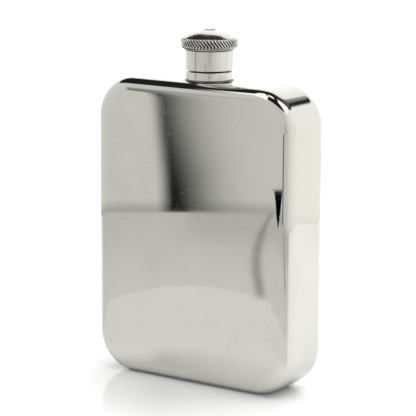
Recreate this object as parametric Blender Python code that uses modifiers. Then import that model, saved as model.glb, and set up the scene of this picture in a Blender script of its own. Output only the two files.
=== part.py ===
"""Hip flask with a captive screw top, in metres, +Z up, standing on its flat bottom.

The origin is the centre of the footprint. The broad front panel faces -Y and the hinge of the
top is at the back, on the +Y side of the neck.
"""

import math

import bmesh
import bpy

# Body: two pressed half shells that meet at the mid-plane Y = 0.
BODY_WIDTH = 0.0845
BODY_HEIGHT = 0.110
BODY_DEPTH = 0.0245
CORNER_RADIUS = 0.015
EDGE_RADIUS = 0.0043
WALL = 0.0009
FIT_GAP = 0.0001
SEAM_GAP = 0.0003
CORNER_STEPS = 12
EDGE_STEPS = 6
SEAM_BEAD_RADIUS = 0.0006
SEAM_BEAD_END = 0.0100

# Neck: a tube with a flange inside the body, and a collar around it on top of the body.
BORE_RADIUS = 0.0053
NECK_RADIUS = 0.00655
THREAD_ROOT = 0.0061
THREAD_CREST = 0.0065
THREAD_PITCH = 0.0016
THREAD_TURNS = 2
NECK_TOP = 0.1170
NECK_LIP = 0.0002
FLANGE_RADIUS = 0.0079
COLLAR_RADIUS = 0.0084
COLLAR_TOP = 0.11345
COLLAR_CHAMFER = 0.0002
SOLDER_LEG = 0.00045

# Top: a plain sleeve that ends in a roof, with a domed knob riveted through it.
SLEEVE_RADIUS = 0.0086
SLEEVE_WALL = 0.0007
SLEEVE_CHAMFER = 0.00015
SLEEVE_BOTTOM = 0.11375
SLEEVE_TOP = 0.1210
ROOF = 0.0009
KNOB_RADIUS = 0.01025
KNOB_BOTTOM = 0.1212
KNOB_HEIGHT = 0.0070
KNOB_RECESS = 0.0006
RIM_FOOT = 0.0010
RIM_HEIGHT = 0.0035
RIM_BEVEL = 0.0003
RIM_SHOULDER = 0.0005
RIM_UNDERCUT = 0.0012
SHOULDER_RADIUS = 0.0094
SHOULDER_HEIGHT = 0.0044
DIMPLE_RADIUS = 0.0024
DIMPLE_DEPTH = 0.0005
RIVET_RADIUS = 0.0012
RIVET_HEAD = 0.0016
RIVET_CLEARANCE = 0.00015
RIVET_HEAD_HEIGHT = 0.00045
RIVET_TAIL_DROP = 0.00065
RIVET_TAIL_HEIGHT = 0.0005
RIVET_TAIL_RADIUS = 0.0018
LINER_RADIUS = 0.0077
LINER_ROOT = 0.00735
LINER_CREST = 0.0071
LINER_BOTTOM = 0.11405
LINER_ROOF_BOTTOM = 0.11895
WASHER_THICKNESS = 0.0017
WASHER_POCKET = 0.0028
POCKET_FLOOR = 0.0005
RIVET_WASHER_THICKNESS = 0.00045
SPRING_WASHER_RADIUS = 0.0040

# Hinge at the back of the neck. Its pin lifts in slotted ears by one turn of the thread.
PIN_Y = 0.0112
PIN_Z = 0.11365
PIN_RADIUS = 0.0004
PIN_HOLE = 0.0005
PIN_HEAD_RADIUS = 0.0006
PIN_HEAD = 0.0002
LIFT = THREAD_PITCH
KNUCKLE_RADIUS = 0.0009
LEAF_HALF_WIDTH = 0.0007
LEAF_TOP = 0.0039
LEAF_SHOULDER = 0.0036
LEAF_SLOPE = 0.0007
WEB_FOOT = 0.0004
CUTTER_HALF_WIDTH = 0.003
EAR_INSIDE = 0.00085
EAR_OUTSIDE = 0.0017
BRACKET_INSIDE = 0.00858
BRACKET_WEB = 0.00925
BRACKET_BOTTOM = 0.1108

ROUND_STEPS = 48
SMALL_STEPS = 24
SMOOTH_ANGLE = math.radians(35)

BRIGHT_PEWTER = ((0.66, 0.65, 0.61), 0.12, 1.0)
TURNED_PEWTER = ((0.62, 0.61, 0.57), 0.18, 1.0)
DULL_SOLDER = ((0.42, 0.42, 0.40), 0.45, 1.0)
STEEL = ((0.50, 0.50, 0.50), 0.30, 1.0)
BRASS = ((0.70, 0.53, 0.26), 0.30, 1.0)
CORK = ((0.52, 0.36, 0.22), 0.85, 0.0)


def clear_scene():
    for obj in list(bpy.data.objects):
        bpy.data.objects.remove(obj, do_unlink=True)


def collection(name, hidden=False):
    made = bpy.data.collections.new(name)
    made.hide_render = hidden
    bpy.context.scene.collection.children.link(made)
    return made


def set_material(obj, finish):
    color, roughness, metallic = finish
    material = bpy.data.materials.new(obj.name)
    material.use_nodes = True
    shader = material.node_tree.nodes["Principled BSDF"]
    shader.inputs["Base Color"].default_value = (*color, 1.0)
    shader.inputs["Roughness"].default_value = roughness
    shader.inputs["Metallic"].default_value = metallic
    obj.data.materials.clear()
    obj.data.materials.append(material)


def link_mesh(name, bm, where):
    mesh = bpy.data.meshes.new(name)
    bm.to_mesh(mesh)
    bm.free()
    obj = bpy.data.objects.new(name, mesh)
    where.objects.link(obj)
    return obj


def make_real(obj, finish):
    """Turns the object, a curve or a mesh with modifiers, into a plain mesh shaded smooth."""
    graph = bpy.context.evaluated_depsgraph_get()
    mesh = bpy.data.meshes.new_from_object(obj.evaluated_get(graph))
    bm = bmesh.new()
    bm.from_mesh(mesh)
    bmesh.ops.remove_doubles(bm, verts=bm.verts, dist=1e-7)
    bm.to_mesh(mesh)
    bm.free()
    mesh.shade_smooth()
    mesh.set_sharp_from_angle(angle=SMOOTH_ANGLE)
    name = obj.name
    where = obj.users_collection[0]
    made = bpy.data.objects.new(name, mesh)
    made.matrix_world = obj.matrix_world
    bpy.data.objects.remove(obj, do_unlink=True)
    made.name = name
    where.objects.link(made)
    set_material(made, finish)
    return made


def cut(obj, cutter):
    modifier = obj.modifiers.new("cut", "BOOLEAN")
    modifier.operation = "DIFFERENCE"
    modifier.object = cutter
    modifier.solver = "EXACT"


def turned(name, profile, where, finish, steps=ROUND_STEPS, ring=True):
    """Turns a profile of (radius, height) points about Z. A ring's profile is a closed loop."""
    bm = bmesh.new()
    points = [bm.verts.new((radius, 0.0, height)) for radius, height in profile]
    for first, second in zip(points, points[1:]):
        bm.edges.new((first, second))
    if ring:
        bm.edges.new((points[-1], points[0]))
    obj = link_mesh(name, bm, where)
    screw = obj.modifiers.new("turn", "SCREW")
    screw.axis = "Z"
    screw.steps = steps
    screw.render_steps = steps
    screw.use_merge_vertices = True
    screw.merge_threshold = 0.00001
    return make_real(obj, finish)


def cylinder(name, radius, low, high, where, steps=ROUND_STEPS):
    bm = bmesh.new()
    bmesh.ops.create_cone(
        bm, cap_ends=True, segments=steps, radius1=radius, radius2=radius, depth=high - low
    )
    bmesh.ops.translate(bm, verts=bm.verts, vec=(0.0, 0.0, (low + high) / 2))
    return link_mesh(name, bm, where)


def box(name, low, high, where):
    bm = bmesh.new()
    bmesh.ops.create_cube(bm, size=1.0)
    size = [b - a for a, b in zip(low, high)]
    middle = [(a + b) / 2 for a, b in zip(low, high)]
    bmesh.ops.scale(bm, verts=bm.verts, vec=size)
    bmesh.ops.translate(bm, verts=bm.verts, vec=middle)
    return link_mesh(name, bm, where)


def as_wire(obj):
    obj.display_type = "WIRE"
    obj.hide_render = True
    return obj


def arc(centre, radius, start, end, steps):
    """Points on a circle from one angle to another, in degrees."""
    points = []
    for step in range(steps + 1):
        angle = math.radians(start + (end - start) * step / steps)
        points.append((centre[0] + radius * math.cos(angle), centre[1] + radius * math.sin(angle)))
    return points


def side_plate(name, outline, half_width, where):
    """A plate across X whose outline is given as (Y, Z) points."""
    curve = bpy.data.curves.new(name, "CURVE")
    curve.dimensions = "2D"
    curve.fill_mode = "BOTH"
    curve.extrude = half_width
    spline = curve.splines.new("POLY")
    spline.points.add(len(outline) - 1)
    for point, (across, up) in zip(spline.points, outline):
        point.co = (across, up, 0.0, 1.0)
    spline.use_cyclic_u = True
    flat = bpy.data.objects.new(name + "_outline", curve)
    where.objects.link(flat)
    flat.rotation_euler = (math.radians(90), 0.0, math.radians(90))
    bpy.context.view_layer.update()
    graph = bpy.context.evaluated_depsgraph_get()
    mesh = bpy.data.meshes.new_from_object(flat.evaluated_get(graph))
    mesh.transform(flat.matrix_world)
    bpy.data.objects.remove(flat, do_unlink=True)
    bm = bmesh.new()
    bm.from_mesh(mesh)
    bmesh.ops.remove_doubles(bm, verts=bm.verts, dist=1e-7)
    bmesh.ops.recalc_face_normals(bm, faces=bm.faces)
    return link_mesh(name, bm, where)


def half_shell(name, side, neck_cutter, where):
    """One pressed half of the body: side is -1 for the front and +1 for the back."""
    depth = (BODY_DEPTH - SEAM_GAP) / 2
    middle = -(BODY_DEPTH + SEAM_GAP) / 4
    bm = bmesh.new()
    bmesh.ops.create_cube(bm, size=1.0)
    bmesh.ops.scale(bm, verts=bm.verts, vec=(BODY_WIDTH, depth, BODY_HEIGHT))
    bmesh.ops.translate(bm, verts=bm.verts, vec=(0.0, middle, BODY_HEIGHT / 2))
    along_y = [e for e in bm.edges if abs(e.verts[0].co.y - e.verts[1].co.y) > depth / 2]
    bmesh.ops.bevel(
        bm, geom=along_y, offset=CORNER_RADIUS, segments=CORNER_STEPS, profile=0.5, affect="EDGES"
    )
    front = -BODY_DEPTH / 2 + FIT_GAP
    rim = [e for e in bm.edges if e.verts[0].co.y < front and e.verts[1].co.y < front]
    bmesh.ops.bevel(
        bm, geom=rim, offset=EDGE_RADIUS, segments=EDGE_STEPS, profile=0.5, affect="EDGES"
    )
    inside = [f for f in bm.faces if f.normal.y > 0.9]
    bmesh.ops.delete(bm, geom=inside, context="FACES")
    if side > 0:
        bmesh.ops.scale(bm, verts=bm.verts, vec=(1.0, -1.0, 1.0))
        bmesh.ops.reverse_faces(bm, faces=bm.faces)
    shell = link_mesh(name, bm, where)
    solidify = shell.modifiers.new("wall", "SOLIDIFY")
    solidify.thickness = WALL
    solidify.offset = -1.0
    solidify.use_even_offset = True
    cut(shell, neck_cutter)
    return make_real(shell, BRIGHT_PEWTER)


def seam_solder(where):
    """The bead of solder that joins the halves inside. It stops short of the neck's flange."""
    inset = WALL + FIT_GAP + SEAM_BEAD_RADIUS
    radius = CORNER_RADIUS - inset
    right = BODY_WIDTH / 2 - CORNER_RADIUS
    low = CORNER_RADIUS
    high = BODY_HEIGHT - CORNER_RADIUS
    top = BODY_HEIGHT - inset
    route = [(SEAM_BEAD_END, top)]
    route += arc((right, high), radius, 90, 0, 8)
    route += arc((right, low), radius, 0, -90, 8)
    route += arc((-right, low), radius, -90, -180, 8)
    route += arc((-right, high), radius, 180, 90, 8)
    route += [(-SEAM_BEAD_END, top)]
    curve = bpy.data.curves.new("seam_solder", "CURVE")
    curve.dimensions = "3D"
    curve.bevel_depth = SEAM_BEAD_RADIUS
    curve.bevel_resolution = 1
    curve.use_fill_caps = True
    spline = curve.splines.new("POLY")
    spline.points.add(len(route) - 1)
    for point, (across, up) in zip(spline.points, route):
        point.co = (across, 0.0, up, 1.0)
    bead = bpy.data.objects.new("seam_solder", curve)
    where.objects.link(bead)
    return make_real(bead, DULL_SOLDER)


def thread_rings(root, crest, start, turns):
    """Profile points of a thread's crests going down from the height start."""
    points = []
    for turn in range(turns):
        top = start - turn * THREAD_PITCH
        points.append((root, top))
        points.append((crest, top - 0.35 * THREAD_PITCH))
        points.append((crest, top - 0.65 * THREAD_PITCH))
    points.append((root, start - turns * THREAD_PITCH))
    return points


def neck_tube(where):
    roof_underside = BODY_HEIGHT - WALL - FIT_GAP
    profile = [(BORE_RADIUS + NECK_LIP, NECK_TOP), (THREAD_ROOT - NECK_LIP, NECK_TOP)]
    profile += thread_rings(THREAD_ROOT, THREAD_CREST, NECK_TOP - NECK_LIP, THREAD_TURNS)
    profile += [
        (THREAD_ROOT, COLLAR_TOP + NECK_LIP / 2),
        (NECK_RADIUS, COLLAR_TOP),
        (NECK_RADIUS, roof_underside),
        (FLANGE_RADIUS, roof_underside),
        (FLANGE_RADIUS, roof_underside - WALL),
        (BORE_RADIUS, roof_underside - WALL),
        (BORE_RADIUS, NECK_TOP - NECK_LIP),
    ]
    return turned("neck_tube", profile, where, TURNED_PEWTER)


def neck_collar(where):
    inner = NECK_RADIUS + FIT_GAP
    bottom = BODY_HEIGHT + FIT_GAP
    profile = [
        (inner, COLLAR_TOP),
        (COLLAR_RADIUS - COLLAR_CHAMFER, COLLAR_TOP),
        (COLLAR_RADIUS, COLLAR_TOP - COLLAR_CHAMFER),
        (COLLAR_RADIUS, bottom),
        (inner, bottom),
    ]
    return turned("neck_collar", profile, where, BRIGHT_PEWTER)


def solder_above(name, radius, level, where):
    """A small three-sided ring of solder in the corner between a wall and the flat below it."""
    profile = [(radius, level + SOLDER_LEG), (radius + SOLDER_LEG, level), (radius, level)]
    return turned(name, profile, where, DULL_SOLDER)


def solder_below(name, radius, level, where):
    """The same ring in the corner between a wall and the flat above it."""
    profile = [(radius, level), (radius + SOLDER_LEG, level), (radius, level - SOLDER_LEG)]
    return turned(name, profile, where, DULL_SOLDER)


def sleeve(where):
    inner = SLEEVE_RADIUS - SLEEVE_WALL
    hole = RIVET_RADIUS + RIVET_CLEARANCE
    profile = [
        (hole, SLEEVE_TOP),
        (SLEEVE_RADIUS - SLEEVE_CHAMFER, SLEEVE_TOP),
        (SLEEVE_RADIUS, SLEEVE_TOP - SLEEVE_CHAMFER),
        (SLEEVE_RADIUS, SLEEVE_BOTTOM + SLEEVE_CHAMFER),
        (SLEEVE_RADIUS - SLEEVE_CHAMFER, SLEEVE_BOTTOM),
        (inner, SLEEVE_BOTTOM),
        (inner, SLEEVE_TOP - ROOF),
        (hole, SLEEVE_TOP - ROOF),
    ]
    return turned("sleeve", profile, where, BRIGHT_PEWTER)


def liner(where):
    """The threaded cup inside the sleeve, which the knob turns."""
    hole = RIVET_RADIUS + RIVET_CLEARANCE
    roof_top = SLEEVE_TOP - ROOF - 2 * FIT_GAP
    profile = [
        (hole, roof_top),
        (LINER_RADIUS, roof_top),
        (LINER_RADIUS, LINER_BOTTOM),
        (LINER_ROOT, LINER_BOTTOM),
    ]
    crests = thread_rings(LINER_ROOT, LINER_CREST, LINER_BOTTOM + 2.5 * THREAD_PITCH, THREAD_TURNS)
    profile += reversed(crests)
    profile += [(LINER_ROOT, LINER_ROOF_BOTTOM), (hole, LINER_ROOF_BOTTOM)]
    return turned("liner", profile, where, BRASS)


def dome_height(radius):
    """Height of the crown above its shoulder at a radius: a low arc of a circle."""
    rise = KNOB_HEIGHT - SHOULDER_HEIGHT
    sphere = (SHOULDER_RADIUS ** 2 + rise ** 2) / (2 * rise)
    return math.sqrt(sphere ** 2 - radius ** 2) - (sphere - rise)


def knob(where):
    hole = RIVET_RADIUS + RIVET_CLEARANCE
    crown = KNOB_BOTTOM + KNOB_HEIGHT
    pocket = SPRING_WASHER_RADIUS + 2 * FIT_GAP
    recess = KNOB_BOTTOM + KNOB_RECESS
    profile = [(hole, crown - DIMPLE_DEPTH), (RIVET_HEAD + FIT_GAP, crown - DIMPLE_DEPTH)]
    dome_steps = 7
    for step in range(dome_steps + 1):
        radius = DIMPLE_RADIUS + (SHOULDER_RADIUS - DIMPLE_RADIUS) * step / dome_steps
        profile.append((radius, KNOB_BOTTOM + SHOULDER_HEIGHT + dome_height(radius)))
    profile += [
        (KNOB_RADIUS - RIM_BEVEL, KNOB_BOTTOM + RIM_HEIGHT + RIM_SHOULDER),
        (KNOB_RADIUS, KNOB_BOTTOM + RIM_HEIGHT),
        (KNOB_RADIUS, KNOB_BOTTOM + RIM_FOOT),
        (KNOB_RADIUS - RIM_BEVEL, KNOB_BOTTOM + RIM_BEVEL),
        (KNOB_RADIUS - RIM_UNDERCUT, KNOB_BOTTOM),
        (pocket, KNOB_BOTTOM),
        (pocket, recess),
        (hole, recess),
    ]
    return turned("knob", profile, where, BRIGHT_PEWTER)


def friction_washer(where):
    hole = RIVET_RADIUS + RIVET_CLEARANCE
    low = SLEEVE_TOP + FIT_GAP
    high = KNOB_BOTTOM + KNOB_RECESS - FIT_GAP
    profile = [
        (hole, high),
        (SPRING_WASHER_RADIUS, high),
        (SPRING_WASHER_RADIUS, low),
        (hole, low),
    ]
    return turned("friction_washer", profile, where, STEEL, SMALL_STEPS)


def rivet(where):
    """A solid rivet: its domed head lies in the crown's dimple, its tail under the liner."""
    seat = KNOB_BOTTOM + KNOB_HEIGHT - DIMPLE_DEPTH + FIT_GAP / 2
    tail_top = LINER_ROOF_BOTTOM - RIVET_TAIL_DROP
    profile = [
        (0.0, seat + RIVET_HEAD_HEIGHT),
        (0.45 * RIVET_HEAD, seat + 0.94 * RIVET_HEAD_HEIGHT),
        (0.8 * RIVET_HEAD, seat + 0.7 * RIVET_HEAD_HEIGHT),
        (RIVET_HEAD, seat + 0.25 * RIVET_HEAD_HEIGHT),
        (RIVET_HEAD, seat),
        (RIVET_RADIUS, seat),
        (RIVET_RADIUS, tail_top),
        (RIVET_TAIL_RADIUS, tail_top),
        (RIVET_TAIL_RADIUS, tail_top - RIVET_TAIL_HEIGHT / 2),
        (RIVET_RADIUS, tail_top - RIVET_TAIL_HEIGHT),
        (0.0, tail_top - RIVET_TAIL_HEIGHT),
    ]
    return turned("rivet", profile, where, TURNED_PEWTER, SMALL_STEPS, ring=False)


def rivet_washer(where):
    hole = RIVET_RADIUS + RIVET_CLEARANCE
    high = LINER_ROOF_BOTTOM - FIT_GAP
    low = high - RIVET_WASHER_THICKNESS
    radius = WASHER_POCKET - 2 * FIT_GAP
    profile = [(hole, high), (radius, high), (radius, low), (hole, low)]
    return turned("rivet_washer", profile, where, BRASS, SMALL_STEPS)


def sealing_washer(where):
    """The cork disc that closes the neck, hollowed on top around the rivet's tail."""
    high = LINER_ROOF_BOTTOM - FIT_GAP
    low = high - WASHER_THICKNESS
    radius = LINER_CREST - FIT_GAP
    profile = [
        (0.0, low + POCKET_FLOOR),
        (WASHER_POCKET, low + POCKET_FLOOR),
        (WASHER_POCKET, high),
        (radius, high),
        (radius, low),
        (0.0, low),
    ]
    return turned("sealing_washer", profile, where, CORK, ROUND_STEPS, ring=False)


def slot_outline(radius, lift):
    """A hole around the pin, stretched upwards by the lift."""
    upper = arc((PIN_Y, PIN_Z + lift), radius, 0, 180, 10)
    lower = arc((PIN_Y, PIN_Z), radius, 180, 360, 10)
    return upper + lower


def hinge_bracket(cutters, where):
    """Two slotted ears on a short web, fixed to the back of the collar."""
    head = arc((PIN_Y, PIN_Z + LIFT), KNUCKLE_RADIUS, 180, 0, 10)
    outline = [(BRACKET_INSIDE, BRACKET_BOTTOM), (BRACKET_INSIDE, COLLAR_TOP - FIT_GAP)]
    outline += [(BRACKET_WEB, COLLAR_TOP - FIT_GAP), (PIN_Y - KNUCKLE_RADIUS, PIN_Z + FIT_GAP)]
    outline += head
    outline += arc((PIN_Y, PIN_Z), KNUCKLE_RADIUS, 0, -60, 5)
    outline += [(BRACKET_WEB + WEB_FOOT, BRACKET_BOTTOM)]
    bracket = side_plate("hinge_bracket", outline, EAR_OUTSIDE, where)
    between = as_wire(
        box(
            "bracket_cutter",
            (-EAR_INSIDE, BRACKET_WEB, BRACKET_BOTTOM - 0.001),
            (EAR_INSIDE, PIN_Y + 0.002, PIN_Z + 0.004),
            cutters,
        )
    )
    around = slot_outline(PIN_HOLE, LIFT)
    slot = as_wire(side_plate("slot_cutter", around, CUTTER_HALF_WIDTH, cutters))
    cut(bracket, between)
    cut(bracket, slot)
    return make_real(bracket, TURNED_PEWTER)


def hinge_leaf(cutters, where):
    """The tongue on the sleeve that turns on the pin between the ears."""
    inside = SLEEVE_RADIUS + FIT_GAP
    bottom = SLEEVE_BOTTOM + FIT_GAP / 2
    outline = [(inside, bottom), (PIN_Y - KNUCKLE_RADIUS, bottom)]
    outline += arc((PIN_Y, PIN_Z), KNUCKLE_RADIUS, 190, 420, 16)
    outline += [(inside + LEAF_SLOPE, bottom + LEAF_SHOULDER), (inside, bottom + LEAF_TOP)]
    leaf = side_plate("hinge_leaf", outline, LEAF_HALF_WIDTH, where)
    around = slot_outline(PIN_HOLE, 0.0)
    hole = as_wire(side_plate("leaf_cutter", around, CUTTER_HALF_WIDTH, cutters))
    cut(leaf, hole)
    return make_real(leaf, TURNED_PEWTER)


def hinge_pin(where):
    """A headed pin, turned upright and then laid along X on the hinge's axis."""
    inner = EAR_OUTSIDE + FIT_GAP
    outer = inner + PIN_HEAD
    profile = [
        (0.0, outer),
        (PIN_HEAD_RADIUS, outer),
        (PIN_HEAD_RADIUS, inner),
        (PIN_RADIUS, inner),
        (PIN_RADIUS, -inner),
        (PIN_HEAD_RADIUS, -inner),
        (PIN_HEAD_RADIUS, -outer),
        (0.0, -outer),
    ]
    pin = turned("hinge_pin", profile, where, STEEL, SMALL_STEPS, ring=False)
    pin.rotation_euler = (0.0, math.radians(90), 0.0)
    pin.location = (0.0, PIN_Y, PIN_Z)
    return pin


def joint_empty(name, location, where):
    empty = bpy.data.objects.new(name, None)
    empty.location = location
    empty.empty_display_size = 0.004
    where.objects.link(empty)
    return empty


def hang_on(parent, children):
    """Parents the pieces to an empty on the joint's axis and leaves them where they are."""
    bpy.context.view_layer.update()
    for child in children:
        child.parent = parent
        child.matrix_parent_inverse = parent.matrix_world.inverted()


def main():
    clear_scene()
    flask = collection("hip_flask")
    cutters = collection("cutters", hidden=True)
    hole = NECK_RADIUS + FIT_GAP
    neck_cutter = as_wire(
        cylinder("neck_cutter", hole, BODY_HEIGHT - 0.005, BODY_HEIGHT + 0.005, cutters)
    )
    half_shell("front_shell", -1, neck_cutter, flask)
    half_shell("back_shell", 1, neck_cutter, flask)
    seam_solder(flask)
    neck_tube(flask)
    under_roof = BODY_HEIGHT - WALL - FIT_GAP
    solder_below("flange_solder", FLANGE_RADIUS + FIT_GAP, under_roof, flask)
    neck_collar(flask)
    above_body = BODY_HEIGHT + FIT_GAP
    solder_above("collar_solder", COLLAR_RADIUS + FIT_GAP, above_body, flask)
    hinge_bracket(cutters, flask)

    lift = joint_empty("top_lift_axis", (0.0, PIN_Y, PIN_Z), flask)
    tilt = joint_empty("top_tilt_axis", (0.0, PIN_Y, PIN_Z), flask)
    turn = joint_empty("knob_turn_axis", (0.0, 0.0, SLEEVE_TOP), flask)
    hang_on(lift, [hinge_pin(flask), tilt])
    hang_on(tilt, [sleeve(flask), hinge_leaf(cutters, flask), turn])
    riveted = [knob(flask), friction_washer(flask), rivet(flask), rivet_washer(flask)]
    hang_on(turn, riveted + [liner(flask), sealing_washer(flask)])


main()
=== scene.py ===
"""Studio scene of a polished pewter hip flask with a captive, knurled screw top.

Everything is in metres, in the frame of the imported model: +Z up, the broad front panel faces -Y,
and the hinge of the top is on the +Y side of the neck.
"""

import math

import bmesh
import bpy
from mathutils import Matrix, Vector


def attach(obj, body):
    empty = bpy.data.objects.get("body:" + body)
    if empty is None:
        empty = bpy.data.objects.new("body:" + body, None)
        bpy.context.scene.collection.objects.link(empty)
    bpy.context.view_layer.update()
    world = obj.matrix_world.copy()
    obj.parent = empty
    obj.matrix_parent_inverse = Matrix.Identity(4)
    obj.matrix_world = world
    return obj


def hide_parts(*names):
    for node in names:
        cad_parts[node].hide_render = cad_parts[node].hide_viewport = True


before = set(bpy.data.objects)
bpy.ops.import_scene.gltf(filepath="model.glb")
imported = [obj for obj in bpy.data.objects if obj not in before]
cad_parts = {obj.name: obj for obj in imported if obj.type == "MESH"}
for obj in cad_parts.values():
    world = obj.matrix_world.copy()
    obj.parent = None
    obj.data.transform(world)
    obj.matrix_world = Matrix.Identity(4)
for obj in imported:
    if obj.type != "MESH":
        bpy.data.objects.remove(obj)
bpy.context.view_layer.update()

MM = 0.001

# Body
BODY_WIDTH = 84.5 * MM
BODY_HEIGHT = 110.0 * MM
BODY_DEPTH = 24.5 * MM
CORNER_RADIUS = 15.0 * MM
EDGE_BLEND = 6.3 * MM
EDGE_FULLNESS = 0.64
WALL = 0.9 * MM
SEAM_GAP = 0.004 * MM
CORNER_SEGMENTS = 18
EDGE_SEGMENTS = 18

# Neck and top
BORE_RADIUS = 5.3 * MM
NECK_RADIUS = 6.55 * MM
NECK_CLEARANCE = 0.1 * MM
NECK_TOP = 117.0 * MM
FLANGE_RADIUS = 7.9 * MM
FLANGE_TOP = 109.0 * MM
FLANGE_THICKNESS = 0.9 * MM
THREAD_ROOT = 6.1 * MM
THREAD_CREST = 6.5 * MM
THREAD_PITCH = 1.6 * MM
THREAD_RIDGE_TURNS = 1.45
THREAD_CREST_SHARE = 0.35
COLLAR_RADIUS = 8.4 * MM
COLLAR_BOTTOM = 110.02 * MM
COLLAR_TOP = 113.36 * MM
SLEEVE_BOTTOM = 113.88 * MM
SLEEVE_TOP = 121.0 * MM
SLEEVE_ROOF = 0.9 * MM
SLEEVE_TOP_RADIUS = 8.68 * MM
SLEEVE_BOTTOM_RADIUS = 8.52 * MM
SLEEVE_BORE = 7.9 * MM
KNOB_BOTTOM = 121.2 * MM
KNOB_TOP = 128.2 * MM
DIMPLE_FLOOR = 127.7 * MM
WASHER_POCKET_RADIUS = 4.2 * MM
WASHER_POCKET_DEPTH = 0.6 * MM
RIVET_RADIUS = 1.2 * MM
RIVET_HOLE = 1.35 * MM
RIVET_SEAT = 127.72 * MM
LINER_RADIUS = 7.7 * MM
LINER_ROOT = 7.35 * MM
LINER_CREST = 7.1 * MM
LINER_BOTTOM = 114.05 * MM
LINER_UNDERSIDE = 118.95 * MM
LINER_TOP = 119.9 * MM
BACKING_TOP = 118.85 * MM
BACKING_BOTTOM = 118.40 * MM
PIN_Y = 11.2 * MM
PIN_Z = 113.65 * MM
PIN_RADIUS = 0.4 * MM
PIN_HEAD_RADIUS = 0.6 * MM

KNURL_TEETH = 52
COLUMNS_PER_TOOTH = 6

# Steps round a full turn
ROUND = 128
SMALL_ROUND = 64
PIN_ROUND = 32
THREAD_STEPS = 72


# ---------------------------------------------------------------- modelling helpers


def deselect_all():
    bpy.ops.object.select_all(action="DESELECT")


def pick(obj):
    """Makes one object the only selected one, and the active one."""
    deselect_all()
    obj.select_set(True)
    bpy.context.view_layer.objects.active = obj


def edit(obj, kind="VERT"):
    """Opens one object in edit mode with nothing selected."""
    pick(obj)
    bpy.ops.object.mode_set(mode="EDIT")
    bpy.ops.mesh.select_mode(type=kind)
    bpy.ops.mesh.select_all(action="DESELECT")


def leave_edit():
    bpy.ops.object.mode_set(mode="OBJECT")


def choose(obj, kind, test):
    """Selects the vertices, edges or faces that pass a test, by their place or normal."""
    mesh = bmesh.from_edit_mesh(obj.data)
    bpy.ops.mesh.select_mode(type=kind)
    bpy.ops.mesh.select_all(action="DESELECT")
    items = {"VERT": mesh.verts, "EDGE": mesh.edges, "FACE": mesh.faces}[kind]
    for item in items:
        if test(item):
            item.select_set(True)
    mesh.select_flush_mode()
    bmesh.update_edit_mesh(obj.data)


def apply_modifier(obj, kind, **settings):
    modifier = obj.modifiers.new(kind.lower(), kind)
    for name, value in settings.items():
        setattr(modifier, name, value)
    pick(obj)
    bpy.ops.object.modifier_apply(modifier=modifier.name)


def settle(obj):
    """Puts the object at the origin, unturned, with its place in its mesh."""
    pick(obj)
    bpy.ops.object.transform_apply(location=True, rotation=True, scale=True)


def face_outwards(obj):
    edit(obj)
    bpy.ops.mesh.select_all(action="SELECT")
    bpy.ops.mesh.remove_doubles(threshold=0.001 * MM)
    bpy.ops.mesh.normals_make_consistent(inside=False)
    leave_edit()


def smooth(obj, angle=32.0):
    pick(obj)
    bpy.ops.object.shade_smooth_by_angle(angle=math.radians(angle), keep_sharp_edges=True)


def even_shading(obj):
    """Keeps flats flat next to their rounded edges."""
    apply_modifier(obj, "WEIGHTED_NORMAL", mode="FACE_AREA", weight=80, keep_sharp=True)


def soften_edges(obj, width, segments=3, angle=30.0):
    apply_modifier(
        obj,
        "BEVEL",
        width=width,
        segments=segments,
        limit_method="ANGLE",
        angle_limit=math.radians(angle),
        use_clamp_overlap=True,
    )


def turned(name, rows, steps=ROUND, closed=True):
    """Raises a ring through rows of (radius, height, turn) as a lathe would follow them.

    The turn is in degrees from the row before. A closed profile joins its last row to its first,
    and an open one ends on the axis.
    """
    radius, height = rows[0][:2]
    start_on_axis = radius < 1e-9
    if start_on_axis:
        rows = rows[1:]
        end_height = height
        radius, height = rows[0][:2]
    deselect_all()
    bpy.ops.mesh.primitive_circle_add(vertices=steps, radius=radius, location=(0, 0, height))
    obj = bpy.context.object
    obj.name = name
    settle(obj)
    edit(obj, "EDGE")
    bpy.ops.mesh.select_all(action="SELECT")
    if start_on_axis:
        bpy.ops.mesh.extrude_region_move()
        bpy.ops.transform.translate(value=(0, 0, end_height - height))
        bpy.ops.mesh.merge(type="CENTER")
        choose(obj, "EDGE", lambda e: e.is_boundary)
    for row in rows[1:]:
        new_radius, new_height = row[:2]
        bpy.ops.mesh.extrude_region_move()
        bpy.ops.transform.translate(value=(0, 0, new_height - height))
        if new_radius < 1e-9:
            bpy.ops.mesh.merge(type="CENTER")
            break
        ratio = new_radius / radius
        bpy.ops.transform.resize(value=(ratio, ratio, 1), center_override=(0, 0, new_height))
        if len(row) > 2 and row[2]:
            bpy.ops.transform.rotate(
                value=math.radians(row[2]), orient_axis="Z", center_override=(0, 0, 0)
            )
        radius, height = new_radius, new_height
    if closed:
        choose(obj, "EDGE", lambda e: e.is_boundary)
        bpy.ops.mesh.bridge_edge_loops()
    leave_edit()
    face_outwards(obj)
    return obj


def quarter(centre, radius, start, end, steps):
    """Profile rows on an arc, from one angle to another in degrees."""
    rows = []
    for step in range(steps + 1):
        angle = math.radians(start + (end - start) * step / steps)
        rows.append((centre[0] + radius * math.cos(angle), centre[1] + radius * math.sin(angle)))
    return rows


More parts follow.
